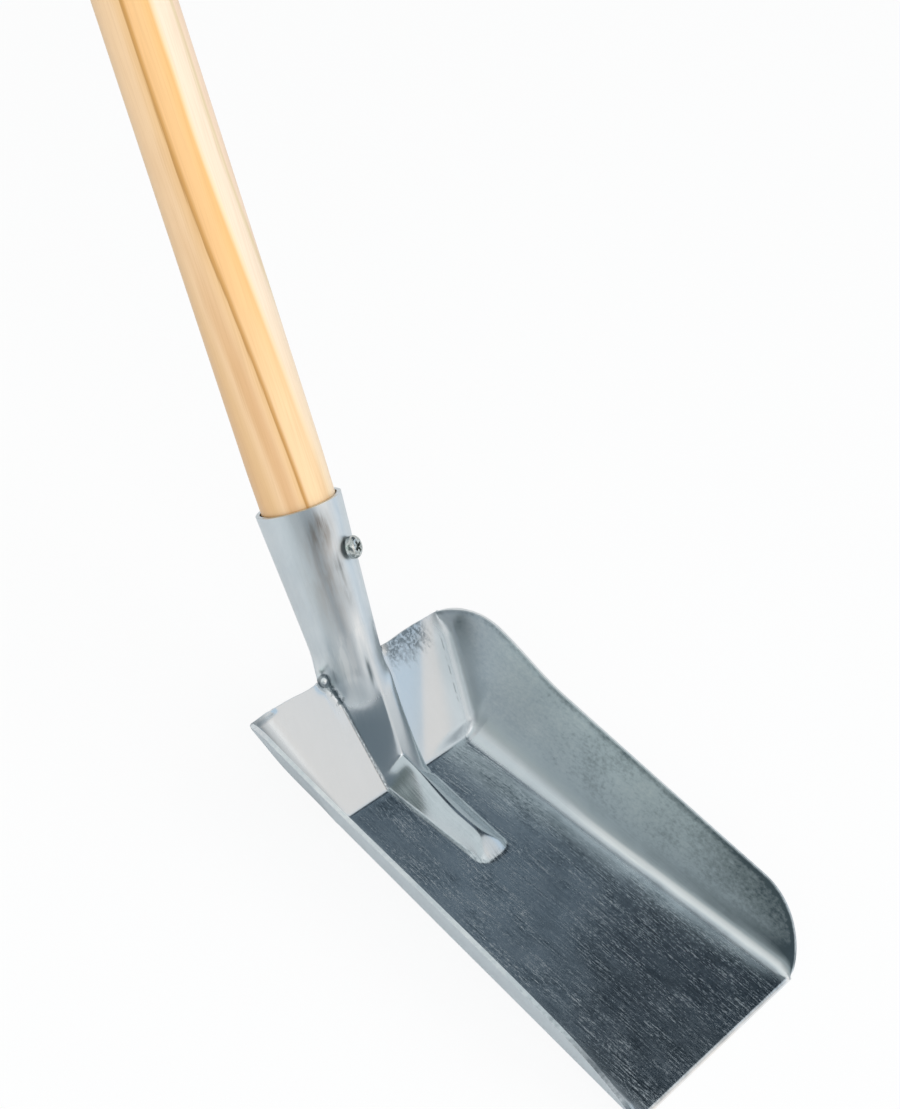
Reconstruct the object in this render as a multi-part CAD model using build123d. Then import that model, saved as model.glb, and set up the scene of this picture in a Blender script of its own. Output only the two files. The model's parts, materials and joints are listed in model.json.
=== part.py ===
from build123d import *
import os
from math import acos, atan2, cos, radians, sin, sqrt, tan

# A small square-mouthed shovel. Millimetres and degrees, +Z up, blade flat on Z = 0,
# front edge towards -Y, handle rising towards +Y. The origin is the middle of the floor's underside.

# Sheet
sheet_thickness = 1.5
bend_radius = 2.5            # inside radius of the bends between floor, sides and back

# Scoop, heights from the floor's top face, angles from the vertical
floor_length = 147.4
floor_rear_width = 69.5
floor_front_width = 90.0
side_flare = 29.0
back_lean = 52.0
back_height = 29.0
side_height_heel = 33.0
side_height_front = 19.8     # where the side's top line would meet the front edge, before it is rounded
front_corner_run = 32.0      # length of the round on the side's front corner
rear_corner_run = 20.0       # length of the round on the side's rear corner

# Stiffening rib on the floor, heights from the floor's top face
rib_length = 35.6            # from the heel to the end of the crest
rib_end_run = 9.4            # length of the sloping end
rib_heel_height = 9.1
rib_tip_height = 5.2
rib_heel_width = 20.0
rib_tip_width = 12.4
rib_heel_crest_radius = 4.0
rib_tip_crest_radius = 2.8

# Handle
handle_diameter = 28.0
handle_length = 600.0
handle_taper_length = 57.0   # the end that sits in the socket
handle_small_diameter = 21.2
handle_end_round = 8.0
handle_chamfer = 1.0
handle_lift = 49.4           # angle between the handle and the floor

# Socket, rolled from the same sheet round the handle's tapered end
socket_clearance = 0.3       # between the handle's taper and the socket's inside
socket_lead = 5.0            # from the top edge of the back to the handle's small end
socket_neck = 1.0            # from the top edge of the back to where the socket closes round
socket_wrap_run = 8.0        # the closed part starts this much later at the seam than at the sides
socket_seam_gap = 1.6

# Screw through the socket into the handle
screw_from_mouth = 19.5
screw_angle = 16.0           # round the socket from its crest
screw_length = 16.0
screw_diameter = 4.2
screw_tip_length = 4.0
screw_head_diameter = 8.0
screw_head_height = 2.8
screw_head_round = 1.6
screw_recess_span = 4.6
screw_recess_width = 1.0
screw_recess_depth = 1.7
screw_hole_clearance = 0.2   # round the screw in the sheet
screw_pilot_clearance = 0.05  # round the screw in the wood
screw_seat_gap = 0.3         # from the head to the highest point of the socket under it

# Allowance by which a cutting shape passes the surface that it cuts
cut_margin = 5.0

# Places that follow from the sizes above
heel_y = floor_length / 2
front_y = -floor_length / 2
floor_z = sheet_thickness
taper = atan2((floor_front_width - floor_rear_width) / 2, floor_length)
flare = radians(side_flare)
lean = radians(back_lean)
lift = radians(handle_lift)
top_y = heel_y + back_height * tan(lean)
top_z = floor_z + back_height
side_slope = (side_height_heel - side_height_front) / floor_length
taper_slope = (handle_diameter - handle_small_diameter) / 2 / handle_taper_length
mouth_station = socket_lead + handle_taper_length
handle_end_station = socket_lead + handle_length


def side_line_z(y):
    return floor_z + side_height_heel + (y - heel_y) * side_slope


# A point of the side view: station along the handle's axis from the top edge of the back, height above it
def axis_point(station, height=0.0):
    y = top_y + station * cos(lift) - height * sin(lift)
    z = top_z + station * sin(lift) + height * cos(lift)
    return y, z


# A plane square to the handle's axis, its local Y towards the crest of the socket
def axis_plane(station):
    y, z = axis_point(station)
    return Plane(origin=(0, y, z), x_dir=(-1, 0, 0), z_dir=(0, cos(lift), sin(lift)))


# The socket's outside radius at a station
def socket_radius(station):
    handle_radius = handle_small_diameter / 2 + (station - socket_lead) * taper_slope
    return handle_radius + socket_clearance + sheet_thickness


# A closed outline in the side view, carried to both sides
def side_prism(outline, half_width):
    return extrude(Plane.YZ * make_face(outline), half_width, both=True)


# The space between the scoop's walls, grown outwards by a wall and rounded along its bends
def hopper(wall):
    levels = []
    top_level = side_line_z(top_y) + handle_diameter
    near_y = front_y - cut_margin
    for z in (floor_z - wall, top_level):
        rise = z - floor_z
        shift = (rise * tan(flare) + wall / cos(flare)) / cos(taper)
        far_y = heel_y + rise * tan(lean) + wall / cos(lean)
        far_half = floor_rear_width / 2 + shift + (heel_y - far_y) * tan(taper)
        near_half = floor_rear_width / 2 + shift + (heel_y - near_y) * tan(taper)
        corners = [(far_half, far_y), (-far_half, far_y), (-near_half, near_y), (near_half, near_y)]
        levels.append(Pos(0, 0, z) * make_face(Polyline(*corners, close=True)))
    block = loft(levels, ruled=True)
    open_edges = block.edges().group_by(Axis.Z)[-1] + block.edges().group_by(Axis.Y)[0]
    bends = [edge for edge in block.edges() if edge not in open_edges]
    return fillet(bends, bend_radius + wall)


# The outline of the scoop in the side view: rounded sides, square front edge and square top edge of the back
def scoop_outline():
    front_foot = (front_y, floor_z)
    front_end = (front_y + front_corner_run, side_line_z(front_y + front_corner_run))
    rear_start = (top_y - rear_corner_run, side_line_z(top_y - rear_corner_run))
    back_top = (top_y, top_z)
    behind = (top_y + cut_margin * cos(lean), top_z - cut_margin * sin(lean))
    lowest = floor_z - sheet_thickness - cut_margin
    along = (1, side_slope)
    return [
        TangentArc(front_end, front_foot, tangent=(-1, -side_slope)),
        Line(front_end, rear_start),
        TangentArc(rear_start, back_top, tangent=along),
        Line(back_top, behind),
        Line(behind, (behind[0], lowest)),
        Line((behind[0], lowest), (front_y, lowest)),
        Line((front_y, lowest), front_foot),
    ]


# An arch: a crest arc with a flank running down each side of it, as a face in local X and Y
def arch(centre, radius, flank, depth):
    touch_x = radius * cos(flank)
    touch_y = centre + radius * sin(flank)
    foot_x = touch_x + (touch_y + depth) * tan(flank)
    right = Line((foot_x, -depth), (touch_x, touch_y))
    crest = ThreePointArc((touch_x, touch_y), (0, centre + radius), (-touch_x, touch_y))
    left = Line((-touch_x, touch_y), (-foot_x, -depth))
    base = Line((-foot_x, -depth), (foot_x, -depth))
    return make_face([right, crest, left, base])


# The pressed channel in the back, in line with the socket, shrunk by an inset
def channel(inset):
    radius = socket_radius(socket_neck) - inset
    start = -(top_z + radius) / sin(lift) - cut_margin
    section = arch(0, radius, 0, radius + cut_margin)
    return extrude(axis_plane(start) * section, socket_neck - start)


# The rib on the floor, from behind the heel to its sloping end, shrunk by an inset
def rib(inset):
    reach = (rib_heel_height + sheet_thickness) * tan(lean) + cut_margin
    sections = []
    for y in (heel_y + reach, heel_y - rib_length - rib_end_run - cut_margin):
        share = (heel_y - y) / rib_length
        crest = rib_heel_height + (rib_tip_height - rib_heel_height) * share
        half = (rib_heel_width + (rib_tip_width - rib_heel_width) * share) / 2
        radius = rib_heel_crest_radius + (rib_tip_crest_radius - rib_heel_crest_radius) * share
        centre = crest - radius
        flank = acos(radius / sqrt(half**2 + centre**2)) - atan2(centre, half)
        section = arch(centre, radius - inset, flank, sheet_thickness + cut_margin)
        sections.append(Plane(origin=(0, y, floor_z), x_dir=(1, 0, 0), z_dir=(0, -1, 0)) * section)
    body = loft(sections, ruled=True)
    end_slope = atan2(rib_tip_height, rib_end_run)
    normal = Vector(0, -sin(end_slope), cos(end_slope))
    end_crest = Vector(0, heel_y - rib_length, floor_z + rib_tip_height)
    return split(body, bisect_by=Plane(origin=end_crest - normal * inset, z_dir=normal), keep=Keep.BOTTOM)


# The cone of the socket from its neck to past its mouth by an extra length, shrunk by an inset
def socket_cone(inset, extra=0.0):
    end = mouth_station + extra
    bottom = socket_radius(socket_neck) - inset
    top = socket_radius(end) - inset
    cone = Cone(bottom, top, end - socket_neck, align=(Align.CENTER, Align.CENTER, Align.MIN))
    return axis_plane(socket_neck) * cone


def screw_plane():
    station = mouth_station - screw_from_mouth
    lean_round = radians(screw_angle)
    crest = Vector(0, -sin(lift), cos(lift)) * cos(lean_round) + Vector(sin(lean_round), 0, 0)
    y, z = axis_point(station)
    head_edge = screw_head_diameter / 2
    seat = socket_radius(station + head_edge) + screw_seat_gap
    along = Vector(0, cos(lift), sin(lift))
    return Plane(origin=Vector(0, y, z) + crest * seat, x_dir=along, z_dir=crest)


# The space that the screw's shank takes, grown by a clearance; local Z is out of the wood
def screw_shank(clearance):
    radius = screw_diameter / 2 + clearance
    straight = screw_length - screw_tip_length
    outline = Polyline(
        (0, 0), (radius, 0), (radius, -straight), (0, -screw_length - clearance), close=True
    )
    return screw_plane() * revolve(Plane.XZ * make_face(outline), Axis.Z)


# The pressed sheet: scoop, raised channel and rib, and the rolled socket with its seam and screw hole
def make_blade():
    outer = hopper(sheet_thickness)
    scoop = (outer - hopper(0)) & side_prism(scoop_outline(), floor_front_width)
    pressed = (channel(0) + rib(0)) & outer
    blade = scoop + pressed + socket_cone(0)
    blade = blade - channel(sheet_thickness) - rib(sheet_thickness)
    blade = blade - socket_cone(sheet_thickness, cut_margin)
    below = -socket_radius(mouth_station) - cut_margin
    wrap_run = socket_wrap_run * below / -socket_radius(socket_neck)
    wrap = Polyline(
        axis_point(socket_neck),
        axis_point(socket_neck + wrap_run, below),
        axis_point(socket_neck, below),
        close=True,
    )
    seam = Polyline(
        axis_point(socket_neck),
        axis_point(socket_neck, below),
        axis_point(mouth_station + cut_margin, below),
        axis_point(mouth_station + cut_margin),
        close=True,
    )
    blade = blade - side_prism(wrap, -below) - side_prism(seam, socket_seam_gap / 2)
    return blade - screw_shank(screw_hole_clearance)


# The wooden handle: tapered end in the socket, plain shaft, rounded free end, and the screw's hole
def make_handle():
    radius = handle_diameter / 2
    small = handle_small_diameter / 2
    small_end = (small - handle_chamfer, socket_lead)
    taper_start = (small + handle_chamfer * taper_slope, socket_lead + handle_chamfer)
    taper_end = (radius, mouth_station)
    round_start = (radius, handle_end_station - handle_end_round)
    round_end = (radius - handle_end_round, handle_end_station)
    outline = [
        Polyline((0, socket_lead), small_end, taper_start, taper_end, round_start),
        TangentArc(round_start, round_end, tangent=(0, 1)),
        Polyline(round_end, (0, handle_end_station), (0, socket_lead)),
    ]
    shaft = axis_plane(0) * revolve(Plane.XZ * make_face(outline), Axis.Z)
    return shaft - screw_shank(screw_pilot_clearance)


# The screw: a pan head with a cross recess on a pointed shank
def make_screw():
    radius = screw_head_diameter / 2
    round_start = (radius, screw_head_height - screw_head_round)
    round_end = (radius - screw_head_round, screw_head_height)
    outline = [
        Polyline((0, 0), (radius, 0), round_start),
        TangentArc(round_start, round_end, tangent=(0, 1)),
        Polyline(round_end, (0, screw_head_height), (0, 0)),
    ]
    head = revolve(Plane.XZ * make_face(outline), Axis.Z)
    bar = Rectangle(screw_recess_span, screw_recess_width)
    cross = bar + Rot(0, 0, 90) * bar
    recess = extrude(Pos(0, 0, screw_head_height) * cross, -screw_recess_depth)
    return screw_plane() * (head - recess) + screw_shank(0)


if __name__ == "__main__":
    os.makedirs("parts", exist_ok=True)
    export_step(make_blade(), "parts/blade.step")
    export_step(make_handle(), "parts/handle.step")
    export_step(make_screw(), "parts/socket_screw.step")
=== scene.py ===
import json
from functools import partial
from math import atan2, cos, pi, radians, sin, sqrt, tan

import bmesh
import bpy
import numpy as np
from mathutils import Matrix, Vector


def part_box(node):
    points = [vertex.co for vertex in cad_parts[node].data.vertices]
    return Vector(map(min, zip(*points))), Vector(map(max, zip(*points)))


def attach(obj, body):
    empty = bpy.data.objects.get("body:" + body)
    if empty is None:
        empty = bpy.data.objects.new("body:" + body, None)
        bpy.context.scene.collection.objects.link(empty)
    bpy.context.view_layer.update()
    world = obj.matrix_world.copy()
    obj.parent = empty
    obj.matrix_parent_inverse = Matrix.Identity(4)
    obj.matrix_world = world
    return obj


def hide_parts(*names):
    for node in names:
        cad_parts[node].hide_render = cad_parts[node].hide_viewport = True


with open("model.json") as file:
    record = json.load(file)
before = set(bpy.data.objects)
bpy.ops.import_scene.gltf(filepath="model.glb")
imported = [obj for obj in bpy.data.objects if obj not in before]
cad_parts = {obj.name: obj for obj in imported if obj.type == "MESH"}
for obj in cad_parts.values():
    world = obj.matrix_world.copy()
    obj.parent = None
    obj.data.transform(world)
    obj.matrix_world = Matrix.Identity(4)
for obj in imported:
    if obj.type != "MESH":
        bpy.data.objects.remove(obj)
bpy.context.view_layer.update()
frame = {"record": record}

mm = 0.001  # shapes are worked out in millimetres, meshes are in metres


# small helpers

def hexColor(code):
    # sRGB hex to linear RGBA: below the knee the curve is a line, above it a power of 2.4
    srgb = [int(code[i:i + 2], 16) / 255 for i in (1, 3, 5)]
    linear = [c / 12.92 if c <= 0.04045 else ((c + 0.055) / 1.055) ** 2.4 for c in srgb]
    return (*linear, 1.0)


def addNode(tree, kind, inputs=(), output=0, stops=(), **settings):
    # one node: its settings, a ramp's colours, and each input by order or name, linked or set.
    # Returns the output asked for
    node = tree.nodes.new("ShaderNode" + kind)
    for name, value in settings.items():
        setattr(node, name, value)
    for position, _ in stops[2:]:
        node.color_ramp.elements.new(position)
    for (position, code), element in zip(stops, node.color_ramp.elements if stops else ()):
        element.position = position
        element.color = hexColor(code)
    for name, value in inputs.items() if isinstance(inputs, dict) else enumerate(inputs):
        if isinstance(value, bpy.types.NodeSocket):
            tree.links.new(value, node.inputs[name])
        else:
            node.inputs[name].default_value = value
    return node.outputs[output] if node.outputs else None


# settings that many nodes share
smooth = dict(interpolation_type="SMOOTHSTEP")
multiply, multiplyAdd, subtract, maximum, absolute = (
    dict(operation=name) for name in ("MULTIPLY", "MULTIPLY_ADD", "SUBTRACT", "MAXIMUM", "ABSOLUTE"))


def emptied(owner):
    # clears the nodes of a material or a world; returns the call that adds one
    owner.use_nodes = True
    owner.node_tree.nodes.clear()
    return partial(addNode, owner.node_tree)


def newMaterial(name):
    material = bpy.data.materials.new(name)
    return material, emptied(material)


def noiseMarks(add, vector, kinds):
    # one noise for each kind of mark, stretched along its grain, with 0 in the middle
    marks = {}
    for name, (grain, detail, roughness) in kinds.items():
        scaled = add("Mapping", {"Vector": vector, "Scale": [1 / (size * mm) for size in grain]})
        noise = add("TexNoise", {"Vector": scaled, "Scale": 1.0, "Detail": detail, "Roughness": roughness})
        marks[name] = add("Math", [noise, 0.5], **subtract)
    return marks


def ease(t, start=0, run=1):
    # smooth step from a start and over a run: 3t^2 - 2t^3 between 0 and 1
    t = np.clip((t - start) / run, 0, 1)
    return t * t * (3 - 2 * t)


def between(low, high, share):
    # the value at a share of the way
    return low + (high - low) * share


def softMax(a, b, blend):
    # the larger of two heights, rounded where they cross
    return 0.5 * (a + b + np.sqrt((a - b) ** 2 + blend ** 2))


def bump(distance, width):
    # bell curve, 1 at the middle
    return np.exp(-(distance / width) ** 2)


def bezier(start, corner, end, t):
    # quadratic blend that rounds a corner: starts along one edge, ends along the other
    return (1 - t) ** 2 * start + 2 * t * (1 - t) * corner + t ** 2 * end


def crowdedRows(low, high, count, places):
    # row positions whose density is 1 plus a bell at each (place, width, amount)
    fine = np.linspace(low, high, 4000)
    density = 1 + sum(amount * bump(fine - place, width) for place, width, amount in places)
    walked = np.hstack((0, np.cumsum(0.5 * (density[1:] + density[:-1]))))
    return np.interp(np.linspace(0, walked[-1], count), walked, fine)


def lengthAlong(points, axis=0):
    # how far it is to each point of a grid from the start of its column or row
    steps = np.diff(points, axis=axis, prepend=points.take([0], axis=axis))
    return np.cumsum(np.linalg.norm(steps, axis=-1), axis=axis)


def vertexNumbers(grid):
    return np.arange(grid.shape[0] * grid.shape[1]).reshape(grid.shape[:2])


def quads(index, closed=False):
    # four corners of each cell of a grid of vertex numbers, as rows of one array
    if closed:
        index = np.hstack((index, index[:, :1]))
    corners = index[:-1, :-1], index[:-1, 1:], index[1:, 1:], index[1:, :-1]
    return np.stack(corners, axis=-1).reshape(-1, 4)


def makePiece(name, points, faces, uv=None, **marks):
    # points in millimetres, one row each; for each point, its place on a flat sheet and any named numbers
    mesh = bpy.data.meshes.new(name)
    mesh.from_pydata((points * mm).tolist(), [], faces.tolist())
    for mark, values in marks.items():
        mesh.attributes.new(mark, "FLOAT", "POINT").data.foreach_set("value", values.astype(np.float32))
    if uv is not None:
        layer = mesh.uv_layers.new(name="flatSheet")
        layer.data.foreach_set("uv", (uv[faces.ravel()] * mm).astype(np.float32).ravel())
    merged = bmesh.new()
    merged.from_mesh(mesh)
    bmesh.ops.remove_doubles(merged, verts=merged.verts, dist=1e-7)
    merged.to_mesh(mesh)
    merged.free()
    mesh.polygons.foreach_set("use_smooth", np.ones(len(mesh.polygons), bool))
    piece = bpy.data.objects.new(name, mesh)
    bpy.context.scene.collection.objects.link(piece)
    return piece


def hand(piece, node, material):
    # the piece takes over a CAD node on the one body of the tool
    piece.data.materials.append(material)
    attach(piece, "root")
    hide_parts(node)


# places read from the frame

shaftMount = next(m for m in frame["record"]["mounts"] if m["name"] == "handle_shaft")
shaftPoint = np.array(shaftMount["pos_m"]) / mm
alongAxis = np.array(shaftMount["axis"])
lift = atan2(alongAxis[2], alongAxis[1])
outOfCrest = np.array([0.0, -sin(lift), cos(lift)])
rightward = np.array([1.0, 0.0, 0.0])
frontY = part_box("blade")[0].y / mm

# millimetres and degrees; a name that ends in Over says where a change starts, from the heel, and its run
scoop = dict(
    sheet=1.5,
    rearWidth=69.5, frontWidth=91.0,  # the floor, at the heel and at the front edge
    flare=29.0, lean=52.0,  # sides and back, from the vertical
    backHeight=29.0,
    sideAtHeel=33.0, sideAtFront=19.4,  # line of the sides' top edges
    leftTop=(0.0, 36.0, 12.0), rightTop=(2.5, 29.0, 24.1),  # their lift to the rear, front and rear rounds
    sweepOver=(-22.0, 38.0), frontDrop=-1.2,
    lip=0.5,  # what is left of the sides at the back's top edge
    widerFront=1.4, widerRear=5.0,  # the right bend stands further out, most from the heel up
    widerOver=(-70.0, 75.0), widerRise=12.0,  # less where the side is lower than widerRise
    leftBends=(4.0, 6.0, 2.8), rightBends=(4.8, 9.0, 4.0),  # reach at the front, at the heel and up the back
    bendStops=(-60.0, -2.0, 3.0),  # where those reaches hold, from the heel
    bendMost=0.45,  # their largest share of a side
    creaseLine=5.3,
    frontThin=0.7, frontRun=1.3,  # the front edge is rubbed down
    splay=2.3, splayRun=26.0,  # the left side was bent out, its rear corner
    leftOut=2.4, leftOutOver=(-110.0, 135.0), outNear=(-6.0, 5.0),  # and its top edge
    hem=0.8, hemWide=2.2, hemEnd=-39.5, hemRun=1.5,  # the back's top edge is turned up at the left corner
    sag=0.6, sagAside=21.0, sagReach=(7.0, 5.0, 6.0),  # and hangs beside the neck
    valleyHeel=11.4, valleyTop=39.5, valleyIn=0.045, valleyOut=0.06,  # shallow fold in the right of the back
    valleySoft=1.5, valleyStart=2.0, valleyEnd=9.0, valleyRise=5.0,
    heelRound=0.6, rimRound=0.3, rimAngle=50.0,
)
rib = dict(
    length=35.6, endRun=9.8, endBlend=0.8,
    heelHeight=9.2, tipHeight=4.7,
    dipOver=(-25.0, 29.0),  # the crest dips between the heel and the tip
    heelHalf=9.2, tipHalf=7.3, endHalf=6.9, neckHalf=12.1,
    noseRun=3.4,  # the end's corners stand back from its middle
    spread=1.3, spreadWide=14.0, spreadRun=22.0,  # the right foot was pressed out further than the left
    crest=0.07, floorCrest=0.35,  # 0 is a knife edge; below the neck and on the floor
    crestOver=(-15.0, 13.0),  # where one turns into the other
    rightFull=5.0,  # right of the neck, a broad crest; 1 is a straight flank
    rightFoot=0.55, rightOver=(-7.0, 9.0),  # it runs out beside the rib, which is steep there
    bendBlend=0.6,
    roundOver=(-13.5, 12.0),  # flat flanks turn round; from the neck
    foot=1.15, neckFoot=4.6, footFrom=26.0,  # reach of the foot's round, and where it starts to grow
)
socket = dict(
    neckRadius=12.1, neckSoft=1.0, taper=0.0605, mouth=62.0,
    wrapRun=8.0, wrapTurn=50.0, seamGap=1.6,
    webAngle=108.0, webRun=7.5, webTurn=30.0,  # the wrapped sheet spreads into the back's top edge
    rollMark=0.10, rollOver=(4.0, 10.0),  # flats left by rolling, from the neck up
    rollFlats=9, rollPhase=0.6, rollAlong=0.07, rollTwist=1.3,
    seatDip=0.5, seatRadius=6.0,  # the sheet is drawn in under the screw
)
# points along each run of the sheet's mesh; floorColumn lies on the left of the floor
meshSteps = dict(rows=205, flank=23, foot=15, base=25, bend=10, wall=16, tubeRows=64, wrap=20, floorColumn=30)

screw = dict(
    fromMouth=19.5, angle=18.5, seatGap=0.3,
    headRadius=4.2, headHeight=3.0, headRound=1.6, headDome=0.25,
    length=16.0, radius=2.1, tip=4.0, thread=0.45, pitch=1.8, threadFrom=-1.0,
    recess=(2.3, 1.0, 1.7), tick=(2.8, 0.35, 0.3),  # half length, width and depth of a slot
    slotEnd=0.3, slotWall=0.16,  # runs of a slot's ends and walls
    recessTurn=20.0,  # how far round the recess stopped
    sharpAngle=40.0, topSteps=34, roundSteps=9, shankSteps=110, around=128,
)

pucker = dict(
    aside=14.3, aboveFloor=28.5, pastHeel=36.6, ring=2.6, deep=1.3, middle=1.3, dome=1.7,
    inward=(-0.55, 0.55, -0.63),  # on the right
    crumples=[(13.7, 34.0, 2.0), (12.9, 31.6, 1.9), (12.3, 29.0, 1.6)],  # aside, past the heel, reach
)

flare = radians(scoop["flare"])
lean = radians(scoop["lean"])
topZ = scoop["sheet"] + scoop["backHeight"]
topY = shaftPoint[1] + (topZ - shaftPoint[2]) / tan(lift)  # the axis meets the back's top edge
heelY = topY - scoop["backHeight"] * tan(lean)
floorLength = heelY - frontY
neckPoint = np.array([0.0, topY, topZ])
tanTaper = (scoop["frontWidth"] - scoop["rearWidth"]) / 2 / floorLength
puckerPlace = np.array([pucker["aside"], heelY + pucker["pastHeel"], scoop["sheet"] + pucker["aboveFloor"]])


def outward(angle):
    # direction away from the handle's axis, angle from the crest towards +X
    return np.sin(angle)[..., None] * rightward + np.cos(angle)[..., None] * outOfCrest


def onAxis(station, angle, radius):
    # a point round that axis, station from the neck
    return neckPoint + station[..., None] * alongAxis + radius[..., None] * outward(angle)


def socketRadius(station):
    # level below the neck, then a cone that opens to the mouth
    return socket["neckRadius"] + socket["taper"] * softMax(station, 0, socket["neckSoft"])


# blade: one sheet, pressed and rolled

def tangentArc(x, startX, startZ, slope, endX, endZ):
    # height of the circle that leaves a sloping line at its start and passes through its end
    down = np.array([slope, -1.0]) / sqrt(1 + slope ** 2)
    chord = np.array([endX - startX, endZ - startZ])
    radius = (chord @ chord) / (2 * chord @ down)
    centre = np.array([startX, startZ]) + radius * down
    return centre[1] + np.sqrt(np.clip(radius ** 2 - (x - centre[0]) ** 2, 0, None))


def sideTop(t, sweepRise, frontRound, rearRound):
    # top edge of a side above the floor, t from the heel: a line that may lift towards the rear,
    # round at each end
    slope = (scoop["sideAtHeel"] - scoop["sideAtFront"]) / floorLength
    backT = topY - heelY
    frontStart = frontRound - floorLength
    rearStart = backT - rearRound

    def line(at):
        return scoop["sideAtHeel"] + slope * at + sweepRise * ease(at, *scoop["sweepOver"])

    rearSlope = line(rearStart + 0.5) - line(rearStart - 0.5)  # over 1 mm
    front = tangentArc(t, frontStart, line(frontStart), slope, -floorLength, scoop["frontDrop"])
    rear = tangentArc(t, rearStart, line(rearStart), rearSlope, backT, scoop["backHeight"])
    return np.where(t < frontStart, front, np.where(t > rearStart, rear, line(t)))


def crestHeights(t):
    # the rib's crest above the floor: low run, a slow rise to the heel, then up along the socket;
    # and that last line alone
    level = between(rib["tipHeight"], rib["heelHeight"], ease(t, *rib["dipOver"]))
    rising = topZ - scoop["sheet"] + (t - (topY - heelY)) * tan(lift) + socket["neckRadius"] / cos(lift)
    return softMax(level, rising, rib["bendBlend"]), softMax(rising, 0, rib["bendBlend"])


def rubbedOff(y):
    # what the front edge has lost of its thickness
    return scoop["frontThin"] * ease(1 - (y - frontY) / scoop["frontRun"])


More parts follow.
